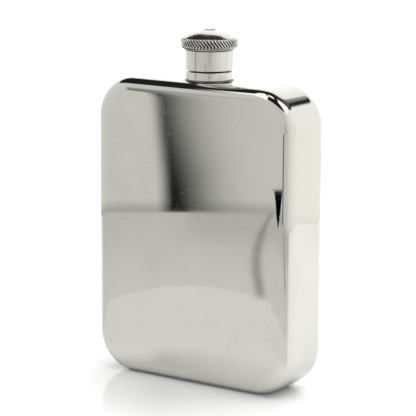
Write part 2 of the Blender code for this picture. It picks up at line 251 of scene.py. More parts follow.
def thread(name, root, crest, low, turns, half_height):
    """A helical ridge of trapezoid section between two radii."""
    deselect_all()
    bpy.ops.mesh.primitive_plane_add(
        size=1, location=((root + crest) / 2, 0, low), rotation=(math.radians(90), 0, 0)
    )
    obj = bpy.context.object
    obj.name = name
    obj.scale = (abs(crest - root), 2 * half_height, 1)
    settle(obj)
    edit(obj)
    choose(obj, "VERT", lambda v: abs(v.co.x - crest) < 0.01 * MM)
    bpy.ops.transform.resize(value=(1, 1, THREAD_CREST_SHARE), center_override=(crest, 0, low))
    bpy.ops.mesh.select_all(action="SELECT")
    bpy.ops.mesh.delete(type="ONLY_FACE")
    leave_edit()
    steps = round(THREAD_STEPS * turns)
    apply_modifier(
        obj,
        "SCREW",
        axis="Z",
        angle=math.radians(360 * turns),
        screw_offset=THREAD_PITCH * turns,
        steps=steps,
        render_steps=steps,
    )
    edit(obj, "EDGE")
    choose(obj, "EDGE", lambda e: e.is_boundary)
    bpy.ops.mesh.fill()
    leave_edit()
    face_outwards(obj)
    return obj


def join_to(obj, extra):
    deselect_all()
    extra.select_set(True)
    obj.select_set(True)
    bpy.context.view_layer.objects.active = obj
    bpy.ops.object.join()


def softened_copy(node, name, width):
    """A copy of a small CAD part, with its flats made whole and its edges rounded."""
    obj = bpy.data.objects.new(name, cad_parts[node].data.copy())
    bpy.context.scene.collection.objects.link(obj)
    edit(obj)
    bpy.ops.mesh.select_all(action="SELECT")
    bpy.ops.mesh.remove_doubles(threshold=0.002 * MM)
    bpy.ops.mesh.dissolve_limited(angle_limit=math.radians(2))
    bpy.ops.mesh.normals_make_consistent(inside=False)
    leave_edit()
    soften_edges(obj, width, segments=2, angle=35.0)
    return obj


# ---------------------------------------------------------------- node helpers


def link(tree, source, target):
    tree.links.new(source, target)


def calc(tree, operation, first, second=None, third=None, clamp=False):
    """A Math node. An input may be a socket or a number."""
    node = tree.nodes.new("ShaderNodeMath")
    node.operation = operation
    node.use_clamp = clamp
    for socket, value in zip(node.inputs, (first, second, third)):
        if value is None:
            continue
        if isinstance(value, (int, float)):
            socket.default_value = value
        else:
            link(tree, value, socket)
    return node.outputs[0]


def fade(tree, value, low, high, start=0.0, end=1.0):
    """A smooth step of a value between two limits."""
    node = tree.nodes.new("ShaderNodeMapRange")
    node.interpolation_type = "SMOOTHSTEP"
    link(tree, value, node.inputs["Value"])
    node.inputs["From Min"].default_value = low
    node.inputs["From Max"].default_value = high
    node.inputs["To Min"].default_value = start
    node.inputs["To Max"].default_value = end
    return node.outputs["Result"]


def blend_colours(tree, factor, first, second):
    node = tree.nodes.new("ShaderNodeMix")
    node.data_type = "RGBA"
    if isinstance(factor, (int, float)):
        node.inputs["Factor"].default_value = factor
    else:
        link(tree, factor, node.inputs["Factor"])
    for name, value in (("A", first), ("B", second)):
        socket = [s for s in node.inputs if s.name == name and s.type == "RGBA"][0]
        if isinstance(value, tuple):
            socket.default_value = value
        else:
            link(tree, value, socket)
    return [s for s in node.outputs if s.type == "RGBA"][0]


def new_group(name, inputs, outputs):
    group = bpy.data.node_groups.new(name, "ShaderNodeTree")
    for socket_name, kind, value in inputs:
        socket = group.interface.new_socket(socket_name, in_out="INPUT", socket_type=kind)
        if value is not None:
            socket.default_value = value
    for socket_name, kind in outputs:
        group.interface.new_socket(socket_name, in_out="OUTPUT", socket_type=kind)
    start = group.nodes.new("NodeGroupInput")
    end = group.nodes.new("NodeGroupOutput")
    return group, start, end


def stretched(tree, vector, scale):
    node = tree.nodes.new("ShaderNodeMapping")
    node.vector_type = "POINT"
    link(tree, vector, node.inputs["Vector"])
    node.inputs["Scale"].default_value = scale
    return node.outputs["Vector"]


def noise(tree, vector, scale, detail=2.0, roughness=0.5):
    node = tree.nodes.new("ShaderNodeTexNoise")
    link(tree, vector, node.inputs["Vector"])
    if isinstance(scale, (int, float)):
        node.inputs["Scale"].default_value = scale
    else:
        link(tree, scale, node.inputs["Scale"])
    node.inputs["Detail"].default_value = detail
    node.inputs["Roughness"].default_value = roughness
    return node.outputs["Fac"]


# ---------------------------------------------------------------- shared finishes


def make_polish_group():
    """Fine marks that a polishing wheel leaves along one direction, and a softer cloudy haze."""
    group, start, end = new_group(
        "wheel_polish",
        [
            ("Vector", "NodeSocketVector", None),
            ("Fineness", "NodeSocketFloat", 900.0),
        ],
        [("Streaks", "NodeSocketFloat"), ("Haze", "NodeSocketFloat")],
    )
    vector = start.outputs["Vector"]
    fineness = start.outputs["Fineness"]
    long_marks = noise(group, vector, fineness, 3.0, 0.6)
    haze = noise(group, vector, calc(group, "MULTIPLY", fineness, 0.03), 3.0, 0.55)
    link(group, fade(group, long_marks, 0.35, 0.7), end.inputs["Streaks"])
    link(group, fade(group, haze, 0.3, 0.72), end.inputs["Haze"])
    return group


def make_pit_group():
    """Sparse tiny pits and specks of dust, and a few short hairline scratches."""
    group, start, end = new_group(
        "pits_and_scratches",
        [
            ("Vector", "NodeSocketVector", None),
            ("Pit Scale", "NodeSocketFloat", 700.0),
            ("Pit Size", "NodeSocketFloat", 0.16),
        ],
        [("Pits", "NodeSocketFloat"), ("Scratches", "NodeSocketFloat")],
    )
    vector = start.outputs["Vector"]
    cells = group.nodes.new("ShaderNodeTexVoronoi")
    cells.feature = "F1"
    link(group, vector, cells.inputs["Vector"])
    link(group, start.outputs["Pit Scale"], cells.inputs["Scale"])
    near = calc(group, "LESS_THAN", cells.outputs["Distance"], start.outputs["Pit Size"])
    tint = group.nodes.new("ShaderNodeSeparateColor")
    link(group, cells.outputs["Color"], tint.inputs["Color"])
    rare = calc(group, "GREATER_THAN", tint.outputs["Red"], 0.82)
    link(group, calc(group, "MULTIPLY", near, rare), end.inputs["Pits"])
    wander = noise(group, vector, 55.0, 2.0)
    shifted = calc(group, "MULTIPLY", wander, 3.0)
    lines = noise(group, stretched(group, vector, (340.0, 340.0, 14.0)), 1.0, 1.0)
    thin = calc(group, "ABSOLUTE", calc(group, "SUBTRACT", lines, 0.5))
    crack = fade(group, thin, 0.0, 0.006, 1.0, 0.0)
    gaps = fade(group, calc(group, "FRACT", shifted), 0.55, 0.8)
    link(group, calc(group, "MULTIPLY", crack, gaps), end.inputs["Scratches"])
    return group


def make_groove_shade_group():
    """Painted shade: near black in the knurl's grooves and around the rivet's head, over the crown's
    dimple.
    """
    group, start, end = new_group(
        "knurl_groove_shade",
        [("Vector", "NodeSocketVector", None)],
        [("Painted Shade", "NodeSocketFloat")],
    )
    parts = group.nodes.new("ShaderNodeSeparateXYZ")
    link(group, start.outputs["Vector"], parts.inputs[0])
    x, y, z = [calc(group, "MULTIPLY", part, 1 / MM) for part in parts.outputs]
    squares = calc(group, "ADD", calc(group, "MULTIPLY", x, x), calc(group, "MULTIPLY", y, y))
    radius = calc(group, "SQRT", squares)
    outline = fade(group, z, 121.30, 121.95, 9.15, 9.94)
    outline = calc(group, "ADD", outline, fade(group, z, 121.95, 122.65, 0.0, 0.31))
    outline = calc(group, "ADD", outline, fade(group, z, 124.65, 125.02, 0.0, -0.13))
    # painted shade in the grooves, where the surface lies below the rim's outline
    sunk = fade(group, calc(group, "SUBTRACT", outline, radius), 0.12, 0.24)
    sunk = calc(group, "MULTIPLY", sunk, fade(group, z, 124.95, 125.1, 1.0, 0.0))
    sunk = calc(group, "MULTIPLY", sunk, fade(group, radius, 8.3, 8.6))
    # painted shade over the crown's dimple and the rivet head in it
    dimple = fade(group, radius, 2.15, 2.4, 1.0, 0.0)
    dimple = calc(group, "MULTIPLY", dimple, fade(group, z, 126.0, 126.5))
    patchy = noise(group, start.outputs["Vector"], 1800.0, 2.0)
    patchy = fade(group, patchy, 0.3, 0.7, 0.75, 1.0)
    both = calc(group, "MAXIMUM", sunk, calc(group, "MULTIPLY", dimple, 0.8))
    link(group, calc(group, "MULTIPLY", both, patchy), end.inputs["Painted Shade"])
    return group


polish_group = make_polish_group()
groove_shade_group = make_groove_shade_group()
pit_group = make_pit_group()


def place_group(tree, group, vector, **values):
    node = tree.nodes.new("ShaderNodeGroup")
    node.node_tree = group
    link(tree, vector, node.inputs["Vector"])
    for name, value in values.items():
        node.inputs[name.replace("_", " ")].default_value = value
    return node


def pewter(
    name,
    colour,
    roughness,
    grain=(1.0, 1.0, 0.06),
    fineness=900.0,
    streak=0.05,
    haze=0.04,
    bump=0.15,
    pits=0.5,
    tarnish=(0.33, 0.31, 0.26),
    tarnish_share=0.12,
    grooves=None,
    waves=0.0,
):
    """Polished pewter: a bright warm grey metal with polishing marks, haze, pits and stains."""
    material = bpy.data.materials.new(name)
    material.use_nodes = True
    tree = material.node_tree
    shader = tree.nodes["Principled BSDF"]
    shader.inputs["Metallic"].default_value = 1.0
    place = tree.nodes.new("ShaderNodeTexCoord").outputs["Object"]
    wheel = place_group(tree, polish_group, stretched(tree, place, grain), Fineness=fineness)
    marks = place_group(tree, pit_group, place)
    rough = calc(tree, "MULTIPLY_ADD", wheel.outputs["Streaks"], streak, roughness)
    rough = calc(tree, "MULTIPLY_ADD", wheel.outputs["Haze"], haze, rough)
    rough = calc(tree, "MULTIPLY_ADD", marks.outputs["Pits"], 0.3 * pits, rough)
    rough = calc(tree, "MULTIPLY_ADD", marks.outputs["Scratches"], 0.12 * pits, rough)
    link(tree, rough, shader.inputs["Roughness"])
    cloud = noise(tree, place, 45.0, 4.0, 0.6)
    stain = calc(tree, "MULTIPLY", fade(tree, cloud, 0.45, 0.8), tarnish_share)
    stained = blend_colours(tree, stain, (*colour, 1.0), (*tarnish, 1.0))
    pitted = calc(tree, "MULTIPLY", marks.outputs["Pits"], 0.6 * pits)
    final = blend_colours(tree, pitted, stained, (0.20, 0.19, 0.16, 1.0))
    # painted shade: the groove mask mixes near black into the base colour
    if grooves:
        group = place_group(tree, grooves, place)
        final = blend_colours(tree, group.outputs["Painted Shade"], final, (0.012, 0.012, 0.011, 1.0))
    link(tree, final, shader.inputs["Base Color"])
    relief = calc(tree, "MULTIPLY", wheel.outputs["Streaks"], 0.5)
    relief = calc(tree, "SUBTRACT", relief, marks.outputs["Pits"])
    relief = calc(tree, "MULTIPLY_ADD", marks.outputs["Scratches"], -0.6, relief)
    dents = tree.nodes.new("ShaderNodeBump")
    dents.inputs["Strength"].default_value = bump
    dents.inputs["Distance"].default_value = 0.002 * MM
    link(tree, relief, dents.inputs["Height"])
    if waves:
        swell = tree.nodes.new("ShaderNodeBump")
        swell.inputs["Strength"].default_value = 1.0
        swell.inputs["Distance"].default_value = waves
        link(tree, noise(tree, place, 48.0, 1.0, 0.4), swell.inputs["Height"])
        link(tree, swell.outputs["Normal"], dents.inputs["Normal"])
    link(tree, dents.outputs["Normal"], shader.inputs["Normal"])
    return material


BODY_FINISH = pewter(
    "bright_pewter", (0.635, 0.63, 0.585), 0.02, fineness=3200.0, streak=0.015, haze=0.02, bump=0.04,
    waves=0.012 * MM,
)
TURNED_FINISH = pewter(
    "turned_pewter", (0.63, 0.625, 0.58), 0.07, grain=(0.08, 0.08, 1.6), fineness=1500.0, streak=0.06
)
KNOB_FINISH = pewter(
    "knurled_pewter", (0.63, 0.62, 0.575), 0.09, fineness=1400.0, streak=0.06, haze=0.08,
    tarnish_share=0.3, grooves=groove_shade_group,
)
NECK_FINISH = pewter(
    "neck_pewter", (0.58, 0.57, 0.53), 0.2, grain=(0.08, 0.08, 1.6), fineness=1700.0,
    streak=0.12, haze=0.1, tarnish_share=0.3,
)
# near-black solder: solder's own duller tone, deepened with painted shade for the dark corner under
# the collar
SOLDER_FINISH = pewter(
    "solder", (0.13, 0.127, 0.12), 0.22, fineness=600.0, streak=0.1, haze=0.2, bump=0.6,
    tarnish_share=0.5,
)
STEEL_FINISH = pewter(
    "steel", (0.52, 0.52, 0.515), 0.2, grain=(0.1, 1.4, 1.4), fineness=1500.0,
    tarnish=(0.25, 0.2, 0.16), tarnish_share=0.2,
)
BRASS_FINISH = pewter(
    "brass", (0.72, 0.53, 0.24), 0.18, grain=(0.08, 0.08, 1.6), fineness=1500.0, streak=0.1,
    haze=0.12, tarnish=(0.30, 0.19, 0.08), tarnish_share=0.45,
)


def make_cork():
    """Pressed cork: crumbs of light and dark brown with small holes."""
    material = bpy.data.materials.new("cork")
    material.use_nodes = True
    tree = material.node_tree
    shader = tree.nodes["Principled BSDF"]
    place = tree.nodes.new("ShaderNodeTexCoord").outputs["Object"]
    crumbs = tree.nodes.new("ShaderNodeTexVoronoi")
    crumbs.inputs["Scale"].default_value = 1500.0
    link(tree, place, crumbs.inputs["Vector"])
    tint = tree.nodes.new("ShaderNodeSeparateColor")
    link(tree, crumbs.outputs["Color"], tint.inputs["Color"])
    shade = blend_colours(tree, tint.outputs["Green"], (0.30, 0.17, 0.08, 1), (0.55, 0.36, 0.19, 1))
    holes = noise(tree, place, 900.0, 3.0, 0.6)
    dark = fade(tree, holes, 0.6, 0.68)
    link(tree, blend_colours(tree, dark, shade, (0.10, 0.05, 0.03, 1)), shader.inputs["Base Color"])
    link(tree, fade(tree, holes, 0.3, 0.7, 0.75, 0.95), shader.inputs["Roughness"])
    dents = tree.nodes.new("ShaderNodeBump")
    dents.inputs["Strength"].default_value = 0.6
    dents.inputs["Distance"].default_value = 0.05 * MM
    link(tree, calc(tree, "SUBTRACT", 1.0, dark), dents.inputs["Height"])
    link(tree, dents.outputs["Normal"], shader.inputs["Normal"])
    return material


CORK_FINISH = make_cork()


def finish_piece(obj, node, body, material, shade_angle=32.0, weighted=True):
    """Smooths and paints a piece, and lets it stand for its CAD node."""
    smooth(obj, shade_angle)
    if weighted:
        even_shading(obj)
    obj.data.materials.clear()
    obj.data.materials.append(material)
    obj.data.name = obj.name
    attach(obj, body)
    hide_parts(node)
    return obj


# ---------------------------------------------------------------- body


def pressed_half(name, side):
    """One pressed half: a flat panel with a rounded rim and a wall back to the mid-plane."""
    front = -BODY_DEPTH / 2
    deselect_all()
    bpy.ops.mesh.primitive_plane_add(
        size=1, location=(0, front, BODY_HEIGHT / 2), rotation=(math.radians(90), 0, 0)
    )
    obj = bpy.context.object
    obj.name = name
    obj.scale = (BODY_WIDTH, BODY_HEIGHT, 1)
    settle(obj)
    edit(obj)
    bpy.ops.mesh.select_all(action="SELECT")
    bpy.ops.mesh.bevel(offset=CORNER_RADIUS, segments=CORNER_SEGMENTS, affect="VERTICES")
    choose(obj, "EDGE", lambda e: e.is_boundary)
    bpy.ops.mesh.extrude_region_move(
        TRANSFORM_OT_translate={"value": (0, BODY_DEPTH / 2 - SEAM_GAP / 2, 0)}
    )
    level = front + 0.01 * MM
    choose(obj, "EDGE", lambda e: all(v.co.y < level for v in e.verts))
    bpy.ops.mesh.bevel(
        offset=EDGE_BLEND, segments=EDGE_SEGMENTS, profile=EDGE_FULLNESS, affect="EDGES"
    )
    leave_edit()
    if side > 0:
        edit(obj)
        bpy.ops.mesh.select_all(action="SELECT")
        bpy.ops.transform.resize(value=(1, -1, 1), center_override=(0, 0, 0))
        leave_edit()
    face_outwards(obj)
    apply_modifier(obj, "SOLIDIFY", thickness=WALL, offset=-1.0, use_even_offset=True)
    return obj


def cut_neck_hole(obj):
    deselect_all()
    bpy.ops.mesh.primitive_cylinder_add(
        vertices=ROUND,
        radius=NECK_RADIUS + NECK_CLEARANCE,
        depth=8 * MM,
        location=(0, 0, BODY_HEIGHT),
    )
    drill = bpy.context.object
    apply_modifier(obj, "BOOLEAN", operation="DIFFERENCE", object=drill, solver="EXACT")
    bpy.data.objects.remove(drill, do_unlink=True)


def body():
    for name, node, side in (("front_panel", "front_shell", -1), ("back_panel", "back_shell", 1)):
        half = pressed_half(name, side)
        cut_neck_hole(half)
        finish_piece(half, node, "flask", BODY_FINISH, 40.0)

# ---------------------------------------------------------------- neck


def neck():
    rows = [
        (BORE_RADIUS, FLANGE_TOP - FLANGE_THICKNESS),
        (FLANGE_RADIUS, FLANGE_TOP - FLANGE_THICKNESS),
        (FLANGE_RADIUS, FLANGE_TOP),
        (NECK_RADIUS, FLANGE_TOP),
        (NECK_RADIUS, COLLAR_TOP),
        (THREAD_ROOT, COLLAR_TOP + 0.15 * MM),
        (THREAD_ROOT, NECK_TOP),
        (BORE_RADIUS, NECK_TOP),
    ]
    tube = turned("threaded_neck", rows)
    soften_edges(tube, 0.12 * MM)
    ridge = thread(
        "neck_ridge",
        root=6.05 * MM,
        crest=THREAD_CREST,
        low=114.15 * MM,
        turns=THREAD_RIDGE_TURNS,
        half_height=0.5 * MM,
    )
    join_to(tube, ridge)
    finish_piece(tube, "neck_tube", "flask", NECK_FINISH)
    collar_rows = [
        (NECK_RADIUS + NECK_CLEARANCE, COLLAR_BOTTOM),
        (COLLAR_RADIUS, COLLAR_BOTTOM),
        (COLLAR_RADIUS, COLLAR_TOP),
        (NECK_RADIUS + NECK_CLEARANCE, COLLAR_TOP),
    ]
    collar = turned("neck_ring", collar_rows)
    soften_edges(collar, 0.22 * MM)
    finish_piece(collar, "neck_collar", "flask", TURNED_FINISH)


def collar_solder():
    """The hollow-faced bead in the corner between the collar and the body's top."""
    rows = [
        (8.42 * MM, 110.62 * MM),
        (8.46 * MM, 110.42 * MM),
        (8.56 * MM, 110.24 * MM),
        (8.72 * MM, 110.10 * MM),
        (8.96 * MM, COLLAR_BOTTOM),
        (8.42 * MM, COLLAR_BOTTOM),
    ]
    bead = turned("collar_foot", rows)
    # painted shade: the bead takes the near-black solder colour for the dark corner under the collar
    finish_piece(bead, "collar_solder", "flask", SOLDER_FINISH, 60.0)


def hinge():
    bracket = softened_copy("hinge_bracket", "hinge_bracket_soft", 0.09 * MM)
    finish_piece(bracket, "hinge_bracket", "flask", TURNED_FINISH, 35.0)
    leaf = softened_copy("hinge_leaf", "hinge_leaf_soft", 0.07 * MM)
    finish_piece(leaf, "hinge_leaf", "top", TURNED_FINISH, 35.0)
    inner, outer = 1.8 * MM, 2.0 * MM
    rows = [
        (0.0, outer),
        (0.3 * MM, outer - 0.01 * MM),
        (0.52 * MM, outer - 0.07 * MM),
        (PIN_HEAD_RADIUS, outer - 0.13 * MM),
        (PIN_HEAD_RADIUS, inner),
        (PIN_RADIUS, inner),
        (PIN_RADIUS, -inner),
        (PIN_HEAD_RADIUS, -inner),
        (PIN_HEAD_RADIUS, 0.13 * MM - outer),
        (0.52 * MM, 0.07 * MM - outer),
        (0.3 * MM, 0.01 * MM - outer),
        (0.0, -outer),
    ]
    pin = turned("hinge_rivet", rows, steps=PIN_ROUND, closed=False)
    pin.rotation_euler = (0, math.radians(90), 0)
    pin.location = (0, PIN_Y, PIN_Z)
    settle(pin)
    finish_piece(pin, "hinge_pin", "pin", STEEL_FINISH)

# ---------------------------------------------------------------- top


def dome_height(radius):
    """Height of the knob's crown at a radius, on a sphere through its edge and its top."""
    edge, low, high = 9.4 * MM, 125.6 * MM, KNOB_TOP
    rise = high - low
    sphere = (edge ** 2 + rise ** 2) / (2 * rise)
    return high - sphere + math.sqrt(sphere ** 2 - radius ** 2)


def top_sleeve():
    roof = SLEEVE_TOP - SLEEVE_ROOF
    rows = [
        (RIVET_HOLE, SLEEVE_TOP),
        (SLEEVE_TOP_RADIUS, SLEEVE_TOP),
        (SLEEVE_BOTTOM_RADIUS, SLEEVE_BOTTOM),
        (SLEEVE_BORE, SLEEVE_BOTTOM),
        (SLEEVE_BORE, roof),
        (RIVET_HOLE, roof),
    ]
    sleeve = turned("top_sleeve", rows)
    soften_edges(sleeve, 0.18 * MM)
    finish_piece(sleeve, "sleeve", "top", TURNED_FINISH)


# Rows of the knurled rim from the dome's edge down to the underside:
# radius, height, slant in tooth pitches from the row above, and depth of the cut, in millimetres.
RIM_ROWS = (
    (9.55, 125.50, 0.0, 0.0),
    (9.86, 125.30, 0.0, 0.0),
    (10.12, 125.02, 0.08, 0.30),
    (10.25, 124.65, 0.24, 0.48),
    (10.25, 124.15, 0.34, 0.50),
    (10.25, 123.60, 0.36, 0.50),
    (10.25, 123.10, 0.34, 0.50),
    (10.22, 122.65, 0.30, 0.50),
    (10.14, 122.30, -0.14, 0.48),
    (9.94, 121.95, -0.27, 0.45),
    (9.60, 121.60, -0.30, 0.38),
    (9.15, 121.30, -0.25, 0.15),
)


def knurled_knob():
    """The knob before its knurl is cut: a dimple at the crown, the dome, and the leaning rim rows."""
    pitch = 360.0 / KNURL_TEETH
    rows = [(RIVET_HOLE, DIMPLE_FLOOR), (1.72 * MM, DIMPLE_FLOOR), (1.95 * MM, 127.76 * MM)]
    rows += [(2.2 * MM, 127.93 * MM), (2.42 * MM, 128.05 * MM)]
    for radius in (2.6, 3.0, 3.6, 4.4, 5.2, 6.0, 6.8, 7.6, 8.3, 8.8, 9.15):
        rows.append((radius * MM, dome_height(radius * MM)))
    for radius, height, slant, _ in RIM_ROWS:
        # transform.rotate turns clockwise for a positive angle here
        rows.append((radius * MM, height * MM, -slant * pitch))
    pocket_roof = KNOB_BOTTOM + WASHER_POCKET_DEPTH
    rows += [(WASHER_POCKET_RADIUS, KNOB_BOTTOM), (WASHER_POCKET_RADIUS, pocket_roof)]
    rows += [(RIVET_HOLE, pocket_roof)]
    return turned("knurled_knob", rows, steps=KNURL_TEETH * COLUMNS_PER_TOOTH)


def cut_knurl(obj):
    """Sinks the grooves between the teeth, column by column."""
    column_share = {0: 1.0, 1: 0.55, 2: 0.08, 3: 0.0, 4: 0.08, 5: 0.55}
    column_angle = 2 * math.pi / (KNURL_TEETH * COLUMNS_PER_TOOTH)
    edit(obj)
    mesh = bmesh.from_edit_mesh(obj.data)
    rings = {}
    for radius, height, _, _ in RIM_ROWS:
        rings[height] = [
            v
            for v in mesh.verts
            if abs(v.co.z - height * MM) < 0.004 * MM
            and abs(v.co.to_2d().length - radius * MM) < 0.02 * MM
        ]
    turn = 0.0
    for radius, height, slant, depth in RIM_ROWS:
        turn += slant * 2 * math.pi / KNURL_TEETH
        for column, part in column_share.items():
            if part * depth < 1e-6:
                continue
            chosen = set()
            for v in rings[height]:
                angle = math.atan2(v.co.y, v.co.x) - turn
                if round(angle / column_angle) % COLUMNS_PER_TOOTH == column:
                    chosen.add(v)
            bpy.ops.mesh.select_all(action="DESELECT")
            for v in chosen:
                v.select_set(True)
            mesh.select_flush_mode()
            bmesh.update_edit_mesh(obj.data)
            ratio = 1 - part * depth / radius
            bpy.ops.transform.resize(
                value=(ratio, ratio, 1), center_override=(0, 0, height * MM)
            )
            mesh = bmesh.from_edit_mesh(obj.data)
    leave_edit()


def knob_and_rivet():
    knob = knurled_knob()
    cut_knurl(knob)
    finish_piece(knob, "knob", "knob", KNOB_FINISH, 38.0, weighted=False)
    rivet_rows = [
        (0.0, 128.18 * MM),
        (0.5 * MM, 128.16 * MM),
        (1.0 * MM, 128.07 * MM),
        (1.4 * MM, 127.92 * MM),
        (1.6 * MM, 127.78 * MM),
        (1.6 * MM, RIVET_SEAT),
        (RIVET_RADIUS, RIVET_SEAT),
        (RIVET_RADIUS, 118.3 * MM),
        (1.8 * MM, 118.3 * MM),
        (1.8 * MM, 118.05 * MM),
        (RIVET_RADIUS, 117.8 * MM),
        (0.0, 117.8 * MM),
    ]
    rivet = turned("rivet_pin", rivet_rows, steps=SMALL_ROUND, closed=False)
    # the knob's finish paints shade over the rivet head too, as it lies in the dimple
    finish_piece(rivet, "rivet", "knob", KNOB_FINISH)


def threaded_liner():
    """The brass cup that the knob turns, with the thread inside its wall."""
    rows = [
        (RIVET_HOLE, LINER_TOP),
        (LINER_RADIUS, LINER_TOP),
        (LINER_RADIUS, LINER_BOTTOM),
        (LINER_ROOT, LINER_BOTTOM),
        (LINER_ROOT, LINER_UNDERSIDE),
        (RIVET_HOLE, LINER_UNDERSIDE),
    ]
    cup = turned("threaded_liner", rows)
    soften_edges(cup, 0.08 * MM, segments=2)
    ridge = thread(
        "liner_ridge",
        root=7.4 * MM,
        crest=LINER_CREST,
        low=114.7 * MM,
        turns=THREAD_RIDGE_TURNS,
        half_height=0.45 * MM,
    )
    join_to(cup, ridge)
    finish_piece(cup, "liner", "knob", BRASS_FINISH)


def small_washers():
    dished = turned(
        "dished_washer",
        [
            (RIVET_HOLE, 121.66 * MM),
            (4.0 * MM, 121.36 * MM),
            (4.0 * MM, 121.12 * MM),
            (RIVET_HOLE, 121.42 * MM),
        ],
        steps=SMALL_ROUND,
    )
    finish_piece(dished, "friction_washer", "knob", STEEL_FINISH)
    backing = turned(
        "backing_washer",
        [
            (RIVET_HOLE, BACKING_TOP),
            (2.6 * MM, BACKING_TOP),
            (2.6 * MM, BACKING_BOTTOM),
            (RIVET_HOLE, BACKING_BOTTOM),
        ],
        steps=SMALL_ROUND,
    )
    soften_edges(backing, 0.08 * MM, segments=2)
    finish_piece(backing, "rivet_washer", "knob", BRASS_FINISH)
    cork = turned(
        "cork_disc",
        [
            (0.0, 117.65 * MM),
            (2.8 * MM, 117.65 * MM),
            (2.8 * MM, 118.85 * MM),
            (7.0 * MM, 118.85 * MM),
            (7.0 * MM, 117.20 * MM),
            (6.6 * MM, 117.16 * MM),
            (0.0, 117.15 * MM),
        ],
        closed=False,
    )
    soften_edges(cork, 0.2 * MM)
    finish_piece(cork, "sealing_washer", "knob", CORK_FINISH)


def hidden_solder():
    """The beads of solder inside the body keep their CAD shape."""
    for node in ("seam_solder", "flange_solder"):
        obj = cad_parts[node]
        obj.data.materials.clear()
        obj.data.materials.append(SOLDER_FINISH)

# ---------------------------------------------------------------- studio

CAMERA_AZIMUTH = 34.922
CAMERA_ELEVATION = 10.945
CAMERA_DISTANCE = 0.74244
CAMERA_ROLL = 0.342
CAMERA_AIM = Vector((0.0, 0.0, 60.5 * MM))
CAMERA_SENSOR = 36.0
CAMERA_LENS = 176.72
CAMERA_SHIFT = (-0.0012, 0.0178)


def studio_camera():
    azimuth = math.radians(CAMERA_AZIMUTH)
    elevation = math.radians(CAMERA_ELEVATION)
    roll = math.radians(CAMERA_ROLL)
    back = Vector(
        (
            math.sin(azimuth) * math.cos(elevation),
            -math.cos(azimuth) * math.cos(elevation),
            math.sin(elevation),
        )
    )
    level = Vector((math.cos(azimuth), math.sin(azimuth), 0.0))
    upright = back.cross(level)
    right = level * math.cos(roll) + upright * math.sin(roll)
    up = back.cross(right)
    camera_data = bpy.data.cameras.new("studio_camera")
    camera = bpy.data.objects.new("studio_camera", camera_data)
    bpy.context.scene.collection.objects.link(camera)
    turned_to = Matrix((right, up, back)).transposed().to_4x4()
    camera.matrix_world = Matrix.Translation(CAMERA_AIM + back * CAMERA_DISTANCE) @ turned_to
    camera_data.sensor_width = CAMERA_SENSOR
    camera_data.lens = CAMERA_LENS
    camera_data.shift_x, camera_data.shift_y = CAMERA_SHIFT
    camera_data.clip_start = 0.01
    camera_data.clip_end = 50.0
    bpy.context.scene.camera = camera


def direction_angles(tree):
    """Azimuth round the object, 0 on the -Y side and growing towards +X, and elevation, in degrees."""
    place = tree.nodes.new("ShaderNodeTexCoord").outputs["Generated"]
    parts = tree.nodes.new("ShaderNodeSeparateXYZ")
    link(tree, place, parts.inputs[0])
    x, y, z = parts.outputs
    away = calc(tree, "MULTIPLY", y, -1.0)
    azimuth = calc(tree, "MULTIPLY", calc(tree, "ARCTAN2", x, away), 180 / math.pi)
    elevation = calc(tree, "MULTIPLY", calc(tree, "ARCSINE", z), 180 / math.pi)
    return azimuth, elevation


def between(tree, value, low, high, soft):
    """1 between two limits and 0 beyond them, with soft ends."""
    up = fade(tree, value, low - soft, low + soft)
    down = fade(tree, value, high - soft, high + soft, 1.0, 0.0)
    return calc(tree, "MULTIPLY", up, down)


def tone_curve(tree, value, points):
    """A smooth curve of a value from 0 to 1 through the given points."""
    node = tree.nodes.new("ShaderNodeFloatCurve")
    curve = node.mapping.curves[0]
    curve.points[0].location = points[0]
    curve.points[-1].location = points[-1]
    for point in points[1:-1]:
        curve.points.new(*point)
    node.mapping.use_clip = False
    node.mapping.update()
    link(tree, value, node.inputs["Value"])
    return node.outputs["Value"]


def round_share(tree, azimuth):
    """Azimuth in degrees, -180 to 180, as a share of the turn from 0 to 1."""
    return calc(tree, "MULTIPLY_ADD", azimuth, 1 / 360, 0.5)


def at_azimuths(pairs):
    return [((azimuth + 180) / 360, value) for azimuth, value in pairs]


SURROUND_RADIUS = 340.0 * MM
WALL_HEIGHT = 130.0 * MM
WALL_OPENING = (172.0, -125.0)
SHEET_HEIGHT = 0.2 * MM
SHEET_SINE, SHEET_COSINE = 0.582, 0.813
SOFT_BOX_LEVEL = 1.5
BACKDROP_LEVEL = 1.3

# Brightness of the surround by azimuth, a third of its true value, and the height of its top edge
# as a share of 90 degrees of elevation.
SURROUND_TONE = at_azimuths(
    (
        (-180, 0.40), (-145, 0.45), (-120, 0.36), (-70, 0.31), (-36, 0.28), (0, 0.27), (20, 0.265),
        (35, 0.262), (50, 0.27), (75, 0.33), (120, 0.39), (150, 0.42), (180, 0.40),
    )
)
SURROUND_TOP = at_azimuths(
    (
        (-180, 0.44), (-165, 0.50), (-145, 0.54), (-132, 0.40), (-120, 0.32), (-105, 0.34),
        (-70, 0.37), (-35, 0.42), (-10, 0.50), (60, 0.50), (90, 0.46), (140, 0.42),
        (153, 0.325), (160, 0.32), (172, 0.32), (180, 0.44),
    )
)


def surround_tone(tree, azimuth):
    return calc(tree, "MULTIPLY", tone_curve(tree, round_share(tree, azimuth), SURROUND_TONE), 3.0)


def darken(tree, level, share):
    """Takes a share, from 0 to 1, off a level."""
    return calc(tree, "MULTIPLY", level, calc(tree, "SUBTRACT", 1.0, share))


def emit(tree, level, tint=(1.0, 1.0, 0.985)):
    """The colour of a level of light, very slightly warm unless told otherwise."""
    shade = tree.nodes.new("ShaderNodeCombineColor")
    for socket, share in zip(shade.inputs[:3], tint):
        link(tree, calc(tree, "MULTIPLY", level, share), socket)
    return shade.outputs[0]


